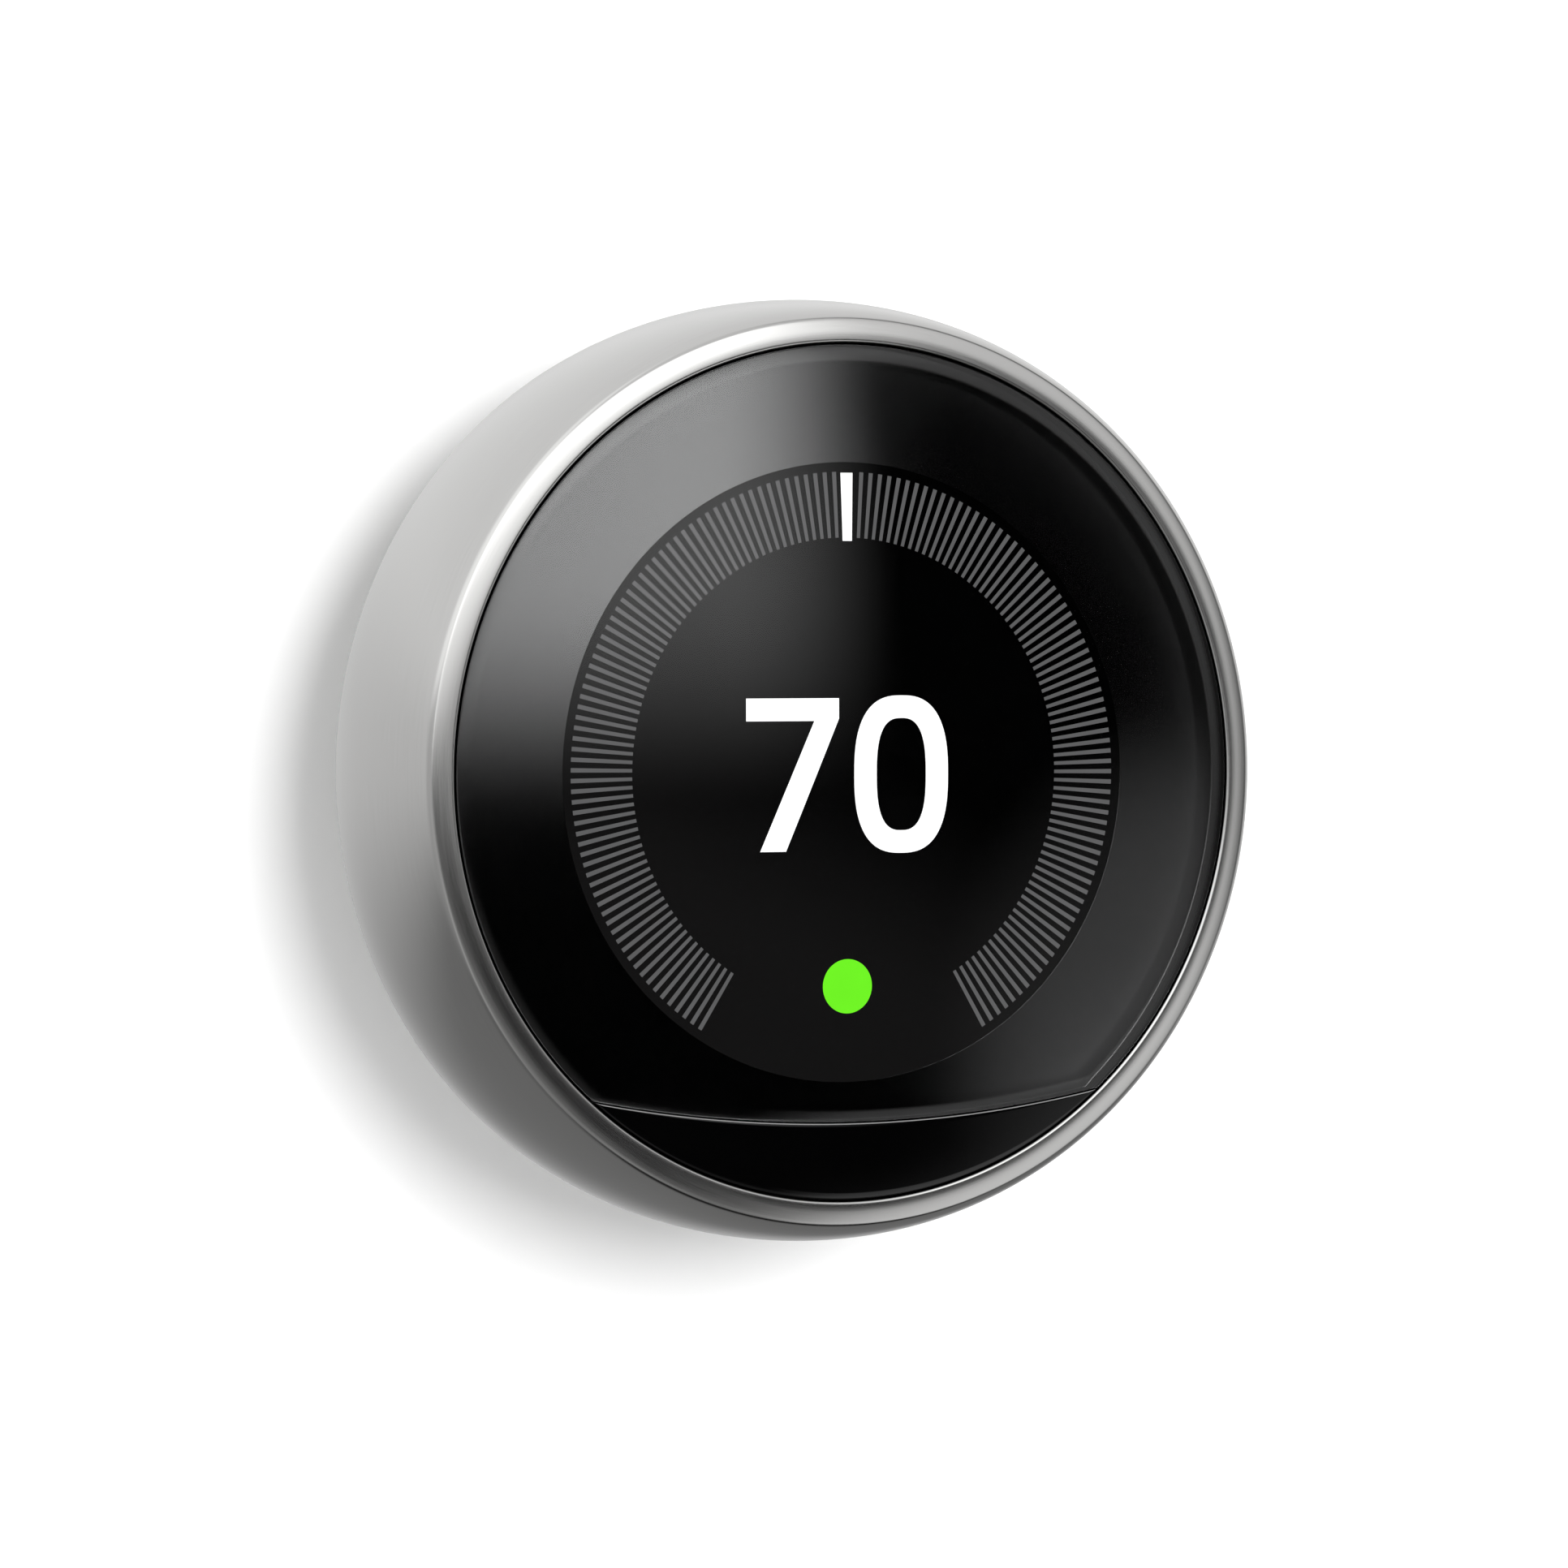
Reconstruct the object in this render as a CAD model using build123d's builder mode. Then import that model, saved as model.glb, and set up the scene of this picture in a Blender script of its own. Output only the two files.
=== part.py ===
"""Round wall thermostat: a wall base with ten wire terminals, and a pull-off head
whose steel ring turns and whose glass front presses in.

Millimetres, +Z up. The back of the base lies on the wall plane Y = 0, the front faces -Y,
and the origin is the centre of that back face. Heights are measured out from the wall.
"""

import math
import os

from build123d import *

os.makedirs("parts", exist_ok=True)

# ---- Driving dimensions
total_depth = 30.8
ring_radius = 42.0
ring_depth = 18.5
ring_face = 4.1
dome_rise = 1.8
base_inset = 5.5
base_plate_thickness = 2.2
base_rim_top = 8.4
cover_thickness = 1.0
head_gap = 1.5
screw_spacing = 60.0
screw_hole_radius = 2.2
wire_hole_radius = 9.0
press_travel = 0.6
tab_travel = 0.8
tab_count = 5
display_radius = 28.6
display_window_radius = 27.3

# ---- Clearances
lip_gap = 0.2
slide_gap = 0.15
shaft_gap = 0.08
seat_gap = 0.05
running_gap = 0.3

# ---- Turning ring
edge_width = 2.27
belly_depth = 11.45
front_reach = 0.13
tail_width = 2.9
tail_reach = 11.15
lip_thickness = 1.4
ring_wall = 2.4
liner_wall = 1.2
encoder_depth = 0.7
encoder_slots = 60

lip_height = total_depth - dome_rise
ring_back = lip_height - ring_depth
lip_radius = ring_radius - ring_face
ring_bore = ring_radius - ring_wall
liner_radius = ring_bore - seat_gap
liner_bore = liner_radius - liner_wall
encoder_bore = liner_bore - seat_gap - encoder_depth

# ---- Glass, print and display
glass_radius = lip_radius - lip_gap
lens_edge = 1.8
lens_lift = 0.05
mask_thickness = 0.15
seam = 0.15
window_arc_radius = 129.7
window_arc_low = 30.8
display_thickness = 1.45
backlight_thickness = 1.2
tray_floor = 1.1
tray_wall = 0.7
tray_ear_reach = 2.3

lens_back = lip_height - lens_edge
mask_back = lens_back - mask_thickness
display_front = mask_back - 0.1
display_back = display_front - display_thickness
backlight_front = display_back - seat_gap
backlight_back = backlight_front - backlight_thickness
tray_top = backlight_back - seat_gap
tray_back = tray_top - tray_floor
tray_bore = display_radius + 0.2
tray_radius = tray_bore + tray_wall

# ---- Chassis that carries the glass and the ring
frame_plate = 2.05
frame_radius = glass_radius - 0.2
bearing_radius = frame_radius - 1.1
frame_wall = 1.2
groove_front_depth = 5.25
flange_thickness = 2.0
retainer_thickness = 1.2
retainer_width = 3.7
retainer_head = 0.6
glide_thickness = 0.2
frame_bore = tray_radius + 0.2

frame_back = mask_back - frame_plate
groove_front = mask_back - groove_front_depth
flange_front = groove_front - running_gap
flange_back = flange_front - flange_thickness
retainer_front = flange_back - running_gap
retainer_back = retainer_front - retainer_thickness
retainer_radius = frame_radius + 0.1
retainer_bore = retainer_radius - retainer_width
liner_back = retainer_back - 4.7
encoder_back = liner_back + 0.2
encoder_front = encoder_back + 3.0
post_radius = 1.3
post_circle = frame_bore + post_radius + 0.6
guide_wall = 0.9
guide_bore = post_radius + shaft_gap

# ---- Rear housing and what it holds
housing_floor_thickness = 1.6
housing_wall = 1.4
housing_inset = 0.2
board_thickness = 1.0
board_radius = 32.4
battery_thickness = 4.2
switch_height = 1.8
dome_height = 0.7

base_radius = ring_radius - base_inset
base_top = base_rim_top + cover_thickness
housing_back = base_top + head_gap
housing_floor = housing_back + housing_floor_thickness
housing_radius = ring_bore - 0.4
wall_radius = bearing_radius - housing_inset
wall_bore = wall_radius - housing_wall
wall_top = retainer_back - press_travel - retainer_head - 0.2
board_back = housing_floor + battery_thickness + 0.5
board_front = board_back + board_thickness
head_screw_seat = housing_floor - 0.5
guide_top = board_front + 2.3
plug_width = 16.8
plug_thickness = 3.8
socket_wall = 1.4
socket_cavity = plug_thickness + 1.6
socket_reach = 18.1
connector_z = -(socket_reach - socket_wall - socket_cavity / 2)
sensor_z = window_arc_low - 1.2

# ---- Wall base
plate_board_gap = 0.1
board_rim_gap = 0.8
base_board_thickness = 1.2
rim_wall = 1.4
block_inner = 21.0
block_half_angle = 38.0
tab_pitch_angle = 15.0
pocket_length = 7.4
pocket_width = 4.6
pocket_wall_inner = 2.8
tab_length = 6.3
catch_circle = 31.0
catch_radius = 1.5
catch_angles = (62, 118, 242, 298)
vial_z = 19.5
vial_radius = 2.0
vial_length = 13.0
cover_bore = 20.6

base_board_back = base_plate_thickness + plate_board_gap
base_board_front = base_board_back + base_board_thickness
rim_bore = base_radius - rim_wall
block_back = base_board_front
block_front = base_rim_top - 0.1
block_outer = rim_bore - 0.9
tab_circle = block_inner + pocket_wall_inner + slide_gap + tab_length / 2
pocket_circle = block_inner + pocket_wall_inner + pocket_length / 2
pocket_floor = block_back + 1.1
tab_bottom = pocket_floor + 2.0
tab_top = base_top + tab_travel
tab_width = pocket_width - 2 * slide_gap
screw_boss_radius = 4.4
screw_boss_top = base_plate_thickness + 1.4
screw_access_radius = screw_boss_radius + 0.3


def out(height):
    """The plane parallel to the wall at a height, with X right and Z up."""
    return Plane.XZ.offset(height)


def turned(outline, mode=Mode.ADD):
    """Turns a closed outline of (radius, height) points about the middle axis."""
    with BuildSketch(Plane.XY) as section:
        with BuildLine():
            Polyline([(r, -h) for r, h in outline], close=True)
        make_face()
    revolve(section.sketch, axis=Axis.Y, mode=mode)


def rings(inner, outer, low, high, mode=Mode.ADD):
    """A flat-ended tube about the middle axis, between two heights."""
    turned([(inner, low), (outer, low), (outer, high), (inner, high)], mode)


def studs(spots, radius, low, high, mode=Mode.ADD):
    """Round studs or holes at (x, z) spots, between two heights."""
    with BuildSketch(out(low)) as discs:
        with Locations(*spots):
            Circle(radius)
    extrude(discs.sketch, amount=high - low, mode=mode)


def bars(spots, width, tall, low, high, mode=Mode.ADD):
    """Upright rectangular bars or slots at (x, z) spots, between two heights."""
    with BuildSketch(out(low)) as plates:
        with Locations(*spots):
            Rectangle(width, tall)
    extrude(plates.sketch, amount=high - low, mode=mode)


def on_circle(radius, angles):
    """Spots on a circle about the middle axis, at angles in degrees from +X."""
    return [
        (radius * math.cos(math.radians(a)), radius * math.sin(math.radians(a)))
        for a in angles
    ]


def save(builder, name):
    """Labels a finished piece and writes its STEP file."""
    builder.part.label = name
    export_step(builder.part, f"parts/{name}.step")


# ================= Wall base =================
wall_screw_spots = [(0, screw_spacing / 2), (0, -screw_spacing / 2)]
catch_spots = on_circle(catch_circle, catch_angles)
base_screw_angles = (-25, 25, 155, 205)
base_screw_circle = block_outer - 1.5
base_screw_spots = on_circle(base_screw_circle, base_screw_angles)
small_shank = 0.8
small_head = 1.7
head_thickness = 0.9
catch_bore = catch_radius + shaft_gap
clip_thickness = 0.8
clip_radius = catch_radius + 1.1

with BuildPart() as base_plate:
    rings(wire_hole_radius, base_radius, 0, base_plate_thickness)
    rings(rim_bore, base_radius, base_plate_thickness, base_rim_top)
    studs(wall_screw_spots, screw_boss_radius, base_plate_thickness, screw_boss_top)
    studs(catch_spots, clip_radius + 0.7, base_plate_thickness, base_rim_top)
    studs(catch_spots, catch_bore + 0.2, base_plate_thickness + 0.8, base_rim_top, Mode.SUBTRACT)
    studs(catch_spots, clip_radius + seat_gap, base_rim_top - clip_thickness - 0.1,
          base_rim_top, Mode.SUBTRACT)
    studs(wall_screw_spots, screw_hole_radius, 0, screw_boss_top, Mode.SUBTRACT)
    studs(base_screw_spots, small_shank + seat_gap, 0, base_plate_thickness, Mode.SUBTRACT)
    studs(base_screw_spots, small_head + 0.1, 0, head_thickness + 0.2, Mode.SUBTRACT)
    chamfer(base_plate.edges().filter_by(GeomType.CIRCLE).filter_by(
        lambda e: abs(e.radius - base_radius) < 1e-3 and abs(e.center().Y) < 1e-3), 0.4)
save(base_plate, "base_plate")

with BuildPart() as base_circuit_board:
    rings(wire_hole_radius + 0.5, rim_bore - board_rim_gap, base_board_back, base_board_front)
    studs(wall_screw_spots, screw_access_radius, base_board_back, base_board_front, Mode.SUBTRACT)
    studs(catch_spots, clip_radius + 1.0, base_board_back, base_board_front, Mode.SUBTRACT)
    studs(base_screw_spots, small_shank + 0.3, base_board_back, base_board_front, Mode.SUBTRACT)
save(base_circuit_board, "base_circuit_board")

tab_angles = [tab_pitch_angle * (i - (tab_count - 1) / 2) for i in range(tab_count)]
contact_width = 3.6
contact_thickness = 0.45
sides = {"right": 0, "left": 180}

for side, turn in sides.items():
    with BuildPart() as terminal_block:
        with BuildSketch(out(block_back)):
            Circle(block_outer)
            Circle(block_inner, mode=Mode.SUBTRACT)
            with BuildLine():
                ends = (turn - block_half_angle, turn + block_half_angle)
                Polyline([(0, 0)] + on_circle(2 * block_outer, ends), close=True)
            make_face(mode=Mode.INTERSECT)
        extrude(amount=block_front - block_back)
        studs(on_circle(base_screw_circle, [turn - 25, turn + 25]), small_shank + seat_gap,
              block_back, block_back + 4, Mode.SUBTRACT)
        for angle in tab_angles:
            with BuildSketch(out(pocket_floor)):
                with Locations(Location(on_circle(pocket_circle, [turn + angle])[0], turn + angle)):
                    Rectangle(pocket_length, pocket_width)
            extrude(amount=block_front - pocket_floor, mode=Mode.SUBTRACT)
            mouth = on_circle(block_inner - 1, [turn + angle])[0]
            inward = on_circle(1, [turn + angle])[0]
            with BuildSketch(Plane(origin=(mouth[0], -(tab_bottom - 0.5), mouth[1]),
                                   z_dir=(inward[0], 0, inward[1]))):
                Circle(1.1)
            extrude(amount=pocket_wall_inner + 2, mode=Mode.SUBTRACT)
    save(terminal_block, f"terminal_block_{side}")

with BuildPart() as terminal_contacts:
    for turn in sides.values():
        for angle in tab_angles:
            foot = pocket_circle + pocket_length / 2 - contact_thickness / 2 - 0.1
            with BuildSketch(out(pocket_floor + 0.1)):
                with Locations(Location(on_circle(foot, [turn + angle])[0], turn + angle)):
                    Rectangle(contact_thickness, contact_width)
            extrude(amount=block_front - pocket_floor - 0.4)
            with BuildSketch(out(pocket_floor + 0.1)):
                with Locations(Location(on_circle(pocket_circle, [turn + angle])[0], turn + angle)):
                    Rectangle(pocket_length - 0.2, contact_width)
            extrude(amount=contact_thickness)
save(terminal_contacts, "terminal_contacts")

tab_number = 0
for turn in sides.values():
    for angle in tab_angles:
        tab_number += 1
        with BuildPart() as wire_tab:
            with BuildSketch(out(tab_bottom)):
                with Locations(Location(on_circle(tab_circle, [turn + angle])[0], turn + angle)):
                    RectangleRounded(tab_length, tab_width, 0.7)
            extrude(amount=tab_top - tab_bottom)
            fillet(wire_tab.faces().sort_by(Axis.Y)[0].edges(), 0.35)
        save(wire_tab, f"wire_tab_{tab_number}")

notch_width = vial_length + 3
with BuildPart() as base_cover:
    rings(cover_bore, base_radius, base_rim_top, base_top)
    for turn in sides.values():
        for angle in tab_angles:
            with BuildSketch(out(base_rim_top)):
                with Locations(Location(on_circle(tab_circle, [turn + angle])[0], turn + angle)):
                    RectangleRounded(tab_length + 2 * slide_gap, tab_width + 2 * slide_gap, 0.8)
            extrude(amount=cover_thickness, mode=Mode.SUBTRACT)
    studs(wall_screw_spots, screw_access_radius, base_rim_top, base_top, Mode.SUBTRACT)
    studs(catch_spots, catch_bore + 0.3, base_rim_top, base_top, Mode.SUBTRACT)
    bars([(0, vial_z)], notch_width, 2 * vial_radius + 3.6, base_rim_top, base_top, Mode.SUBTRACT)
    fillet(base_cover.edges().filter_by(GeomType.CIRCLE).filter_by(
        lambda e: abs(e.radius - base_radius) < 1e-3 and abs(e.center().Y + base_top) < 1e-3), 0.5)
save(base_cover, "base_cover")

with BuildPart() as catch_clips:
    studs(catch_spots, clip_radius, base_rim_top - clip_thickness - 0.05, base_rim_top - 0.05)
    studs(catch_spots, catch_bore, base_rim_top - clip_thickness - 0.05, base_rim_top - 0.05,
          Mode.SUBTRACT)
    for spot in catch_spots:
        bars([(spot[0], spot[1] + clip_radius / 2)], 1.4, clip_radius + 0.2,
             base_rim_top - clip_thickness - 0.05, base_rim_top - 0.05, Mode.SUBTRACT)
save(catch_clips, "catch_clips")

with BuildPart() as base_screws:
    studs(base_screw_spots, small_head, 0.1, 0.1 + head_thickness)
    studs(base_screw_spots, small_shank, 0.1 + head_thickness, block_back + 3.5)
    bars(base_screw_spots, 2.0, 0.5, 0.1, 0.5, Mode.SUBTRACT)
    bars(base_screw_spots, 0.5, 2.0, 0.1, 0.5, Mode.SUBTRACT)
save(base_screws, "base_screws")

vial_height = base_board_front + 3.2
vial_bore = vial_radius - 0.45
cradle_top = vial_height
with BuildPart() as level_cradle:
    bars([(0, vial_z)], vial_length + 1.6, 2 * vial_radius + 1.6, base_board_front, cradle_top)
    with BuildSketch(Plane.YZ.offset(-vial_length / 2 - 0.1)):
        with Locations((-vial_height, vial_z)):
            Circle(vial_radius + seat_gap)
    extrude(amount=vial_length + 0.2, mode=Mode.SUBTRACT)
save(level_cradle, "level_cradle")

with BuildPart() as level_vial:
    with BuildSketch(Plane.YZ.offset(-vial_length / 2)):
        with Locations((-vial_height, vial_z)):
            Circle(vial_radius)
    extrude(amount=vial_length)
    with BuildSketch(Plane.YZ.offset(-vial_length / 2 + 1)):
        with Locations((-vial_height, vial_z)):
            Circle(vial_bore)
    extrude(amount=vial_length - 2, mode=Mode.SUBTRACT)
save(level_vial, "level_vial")

bubble_radius = 1.0
with BuildPart() as level_fluid:
    with BuildSketch(Plane.YZ.offset(-vial_length / 2 + 1 + seat_gap)):
        with Locations((-vial_height, vial_z)):
            Circle(vial_bore - seat_gap)
    extrude(amount=vial_length - 2 - 2 * seat_gap)
    with Locations((0, -vial_height - 0.3, vial_z + vial_bore - bubble_radius)):
        Sphere(bubble_radius, mode=Mode.SUBTRACT)
save(level_fluid, "level_fluid")

socket_floor = base_board_front + 1.4
plug_bottom = socket_floor + 0.6
contact_columns = [(i - 4.5) * 1.6 for i in range(10)]
with BuildPart() as base_connector:
    bars([(0, connector_z)], plug_width + 0.4 + 2 * socket_wall, socket_cavity + 2 * socket_wall,
         base_board_front, base_top)
    bars([(0, connector_z)], plug_width + 0.4, socket_cavity, socket_floor, base_top, Mode.SUBTRACT)
    fillet(base_connector.edges().filter_by(Axis.Y).group_by(Axis.X)[0], 0.6)
    fillet(base_connector.edges().filter_by(Axis.Y).group_by(Axis.X)[-1], 0.6)
save(base_connector, "base_connector")

spring_strip = 0.3
with BuildPart() as base_connector_contacts:
    for side in (-1, 1):
        row = connector_z + side * (socket_cavity / 2 - spring_strip / 2 - seat_gap)
        bars([(x, row) for x in contact_columns], 0.8, spring_strip,
             socket_floor + seat_gap, base_top - 0.6)
save(base_connector_contacts, "base_connector_contacts")

# ================= Head: rear housing and electronics =================
post_angles = (90, 210, 330)
post_spots = on_circle(post_circle, post_angles)
standoff_spots = on_circle(24.0, (45, 135, 225, 315))
usb_spot = (12.0, -25.0)
usb_width = 7.6
usb_thickness = 2.8
ring_sensor_width = 4.0
ring_sensor_low = encoder_back + 0.1
ring_sensor_high = encoder_front - 0.1

with BuildPart() as rear_housing:
    turned([(0, housing_back), (housing_radius, housing_back), (housing_radius, housing_floor),
            (0, housing_floor)])
    rings(wall_bore, wall_radius, housing_floor, wall_top)
    studs(post_spots, guide_bore + guide_wall, housing_floor, guide_top)
    studs(post_spots, guide_bore, head_screw_seat, guide_top, Mode.SUBTRACT)
    studs(post_spots, 2.15, housing_back, head_screw_seat, Mode.SUBTRACT)
    studs(standoff_spots, 2.0, housing_floor, board_back)
    studs(standoff_spots, small_shank + seat_gap, housing_floor + 1, board_back, Mode.SUBTRACT)
    studs(catch_spots, catch_radius, base_plate_thickness + 1.5, housing_back)
    bars([(0, connector_z)], plug_width + 0.2, plug_thickness + 0.2, housing_back, housing_floor,
         Mode.SUBTRACT)
    bars([usb_spot], usb_width + 0.2, usb_thickness + 0.2, housing_back, housing_floor,
         Mode.SUBTRACT)
    bars([(wall_radius, 0)], 4.0, ring_sensor_width + 0.4, ring_sensor_low - 0.2, wall_top + 1,
         Mode.SUBTRACT)
    for column in range(-3, 4):
        bars([(-12 + column * 1.6, -25)], 0.8, 4.0, housing_back, housing_floor, Mode.SUBTRACT)
    chamfer(rear_housing.edges().filter_by(GeomType.CIRCLE).filter_by(
        lambda e: abs(e.radius - housing_radius) < 1e-3
        and abs(e.center().Y + housing_back) < 1e-3), 0.4)
save(rear_housing, "rear_housing")

plug_flange_top = housing_floor + 1.4
with BuildPart() as head_connector:
    bars([(0, connector_z)], plug_width, plug_thickness, plug_bottom, board_back - seat_gap)
    bars([(0, connector_z)], plug_width + 2.4, plug_thickness + 2.4, housing_floor + seat_gap,
         plug_flange_top)
    for side in (-1, 1):
        bars([(x, connector_z + side * plug_thickness / 2) for x in contact_columns], 0.9, 0.8,
             plug_bottom + 0.6, housing_back - 0.2, Mode.SUBTRACT)
save(head_connector, "head_connector")

with BuildPart() as head_connector_pins:
    for side in (-1, 1):
        row = connector_z + side * (plug_thickness / 2 - 0.4 + 0.16)
        bars([(x, row) for x in contact_columns], 0.8, 0.22, plug_bottom + 0.65,
             housing_back - 0.25)
save(head_connector_pins, "head_connector_pins")

with BuildPart() as main_circuit_board:
    turned([(0, board_back), (board_radius, board_back), (board_radius, board_front),
            (0, board_front)])
    studs(post_spots, guide_bore + guide_wall + 0.3, board_back, board_front, Mode.SUBTRACT)
    studs(standoff_spots, small_shank + 0.2, board_back, board_front, Mode.SUBTRACT)
save(main_circuit_board, "main_circuit_board")

with BuildPart() as board_screws:
    studs(standoff_spots, small_head, board_front + 0.02, board_front + head_thickness)
    studs(standoff_spots, small_shank, board_back - 3, board_front + 0.02)
    bars(standoff_spots, 2.0, 0.5, board_front + 0.5, board_front + head_thickness, Mode.SUBTRACT)
    bars(standoff_spots, 0.5, 2.0, board_front + 0.5, board_front + head_thickness, Mode.SUBTRACT)
save(board_screws, "board_screws")

battery_z = 5.0
with BuildPart() as battery:
    bars([(0, battery_z)], 28, 20, housing_floor + 0.1, housing_floor + battery_thickness + 0.1)
    fillet(battery.edges().filter_by(Axis.Z), 1.2)
save(battery, "battery")

with BuildPart() as battery_lead:
    bars([(0, battery_z + 10.6)], 5, 1.0, housing_floor + 1.2, board_back)
    bars([(0, battery_z + 12.2)], 5, 2.2, board_back - 1.0, board_back)
save(battery_lead, "battery_lead")

with BuildPart() as rf_shield:
    bars([(-13, 4)], 16, 16, board_front, board_front + 2.0)
    bars([(-13, 4)], 15.4, 15.4, board_front, board_front + 1.7, Mode.SUBTRACT)
    fillet(rf_shield.edges().filter_by(Axis.Y).group_by(Axis.X)[0], 0.5)
save(rf_shield, "rf_shield")

with BuildPart() as processor:
    bars([(-13, 4)], 11, 11, board_front, board_front + 1.1)
    chamfer(processor.faces().sort_by(Axis.Y)[0].edges(), 0.1)
save(processor, "processor")

with BuildPart() as click_speaker:
    studs([(17, 2)], 5.0, board_front, board_front + 2.0)
    studs([(17, 2)], 1.0, board_front + 1.0, board_front + 2.0, Mode.SUBTRACT)
save(click_speaker, "click_speaker")

with BuildPart() as usb_socket:
    bars([usb_spot], usb_width, usb_thickness, housing_back + 0.1, board_back - seat_gap)
    bars([usb_spot], usb_width - 0.8, usb_thickness - 0.8, housing_back + 0.1, housing_back + 4.5,
         Mode.SUBTRACT)
    bars([usb_spot], usb_width - 2.2, 0.6, housing_back + 0.8, housing_back + 4.5)
save(usb_socket, "usb_socket")

with BuildPart() as ring_sensor:
    bars([(encoder_bore - 0.6 - 1.5, 0)], 3.0, ring_sensor_width, ring_sensor_low, ring_sensor_high)
    chamfer(ring_sensor.edges().filter_by(Axis.Y), 0.3)
save(ring_sensor, "ring_sensor")

with BuildPart() as press_switch:
    bars([(0, 0)], 6.0, 6.0, board_front, board_front + switch_height)
    with BuildSketch(out(board_front + switch_height)):
        Circle(1.8)
    extrude(amount=dome_height, taper=20)
save(press_switch, "press_switch")

with BuildPart() as motion_sensor:
    studs([(0, -sensor_z)], 3.2, board_front, board_front + 3.4)
    bars([(0, -sensor_z)], 3.4, 2.4, board_front + 3.0, board_front + 3.4, Mode.SUBTRACT)
    studs([(0, -sensor_z)], 3.6, board_front, board_front + 0.5)
save(motion_sensor, "motion_sensor")

with BuildPart() as temperature_sensor:
    bars([(-12, -25)], 3.0, 3.0, board_back - 1.0, board_back)
    studs([(-12, -25)], 0.7, board_back - 1.0, board_back - 0.6, Mode.SUBTRACT)
save(temperature_sensor, "temperature_sensor")

# ================= Press front: chassis, display and glass =================
boss_angles = (0, 60, 120, 180, 240, 300)
retainer_screw_circle = retainer_bore + 1.1
retainer_screw_spots = on_circle(retainer_screw_circle, boss_angles)
ear_angles = (45, 135, 225, 315)
ear_screw_spots = on_circle(tray_radius + 1.6, ear_angles)
post_end = head_screw_seat + 0.1
view_slot_width = 20.0

with BuildPart() as support_frame:
    rings(frame_bore, frame_radius, frame_back, mask_back)
    rings(bearing_radius - frame_wall, bearing_radius, retainer_front, frame_back)
    rings(bearing_radius - frame_wall, frame_radius, groove_front, frame_back)
    studs(retainer_screw_spots, 1.4, retainer_front, frame_back)
    studs(post_spots, post_radius, post_end, frame_back)
    studs(post_spots, small_shank + seat_gap, post_end, post_end + 5, Mode.SUBTRACT)
    studs(retainer_screw_spots, small_shank + seat_gap, retainer_front, retainer_front + 4,
          Mode.SUBTRACT)
    studs(ear_screw_spots, small_shank + seat_gap, frame_back, frame_back + 1.5, Mode.SUBTRACT)
    bars([(0, -(frame_bore + 2.4))], view_slot_width, 3.6, frame_back, mask_back, Mode.SUBTRACT)
save(support_frame, "support_frame")

with BuildPart() as retaining_ring:
    rings(retainer_bore, retainer_radius, retainer_back, retainer_front)
    studs(retainer_screw_spots, small_shank + 0.1, retainer_back, retainer_front, Mode.SUBTRACT)
    studs(post_spots, guide_bore + guide_wall + 0.3, retainer_back, retainer_front, Mode.SUBTRACT)
save(retaining_ring, "retaining_ring")

with BuildPart() as front_screws:
    studs(retainer_screw_spots, 1.1, retainer_back - retainer_head, retainer_back - 0.02)
    studs(retainer_screw_spots, small_shank, retainer_back - 0.02, retainer_front + 3.5)
    studs(ear_screw_spots, 1.5, tray_back - 0.6, tray_back - 0.02)
    studs(ear_screw_spots, small_shank, tray_back - 0.02, frame_back + 1.3)
    studs(post_spots, 1.9, head_screw_seat - 0.05 - head_thickness, head_screw_seat - 0.05)
    studs(post_spots, small_shank, head_screw_seat - 0.05, post_end + 4.5)
save(front_screws, "front_screws")

with BuildPart() as ring_glides:
    with BuildSketch(out(groove_front - glide_thickness)) as pads:
        Circle(frame_radius - 0.05)
        Circle(bearing_radius + 0.1, mode=Mode.SUBTRACT)
        with PolarLocations(frame_radius, 6):
            Rectangle(6, 9, mode=Mode.SUBTRACT)
    extrude(amount=glide_thickness)
save(ring_glides, "ring_glides")

with BuildPart() as display_tray:
    turned([(0, tray_back), (tray_radius, tray_back), (tray_radius, display_front - 0.1),
            (tray_bore, display_front - 0.1), (tray_bore, tray_top), (0, tray_top)])
    for angle in ear_angles:
        with BuildSketch(out(tray_back)):
            with Locations(Location(on_circle(tray_radius + 1.2, [angle])[0], angle)):
                RectangleRounded(tray_ear_reach + 2.4, 6.0, 1.0)
        extrude(amount=frame_back - tray_back)
    rings(0, tray_bore, tray_top, display_front - 0.1, Mode.SUBTRACT)
    studs(ear_screw_spots, small_shank + 0.1, tray_back, frame_back, Mode.SUBTRACT)
    studs([(0, 0)], 1.5, board_front + switch_height + dome_height + press_travel + 0.05, tray_back)
save(display_tray, "display_tray")

with BuildPart() as display_backlight:
    turned([(0, backlight_back), (display_radius, backlight_back),
            (display_radius, backlight_front), (0, backlight_front)])
save(display_backlight, "display_backlight")

with BuildPart() as display_cell:
    turned([(0, display_back), (display_radius, display_back),
            (display_radius, display_front), (0, display_front)])
    chamfer(display_cell.faces().sort_by(Axis.Y)[0].edges(), 0.15)
save(display_cell, "display_cell")

flex_width = 12.0
flex_thickness = 0.2
with BuildPart() as display_flex:
    bars([(0, 19)], flex_width, 6.0, tray_back - 0.3, tray_back - 0.1)
    bars([(0, 22)], flex_width, flex_thickness, board_front + 1.9, tray_back - 0.1)
save(display_flex, "display_flex")

with BuildPart() as display_socket:
    bars([(0, 22)], flex_width + 2, 3.0, board_front, board_front + 1.6)
    bars([(0, 22)], flex_width + 0.4, 0.6, board_front + 0.6, board_front + 1.6, Mode.SUBTRACT)
save(display_socket, "display_socket")

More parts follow.
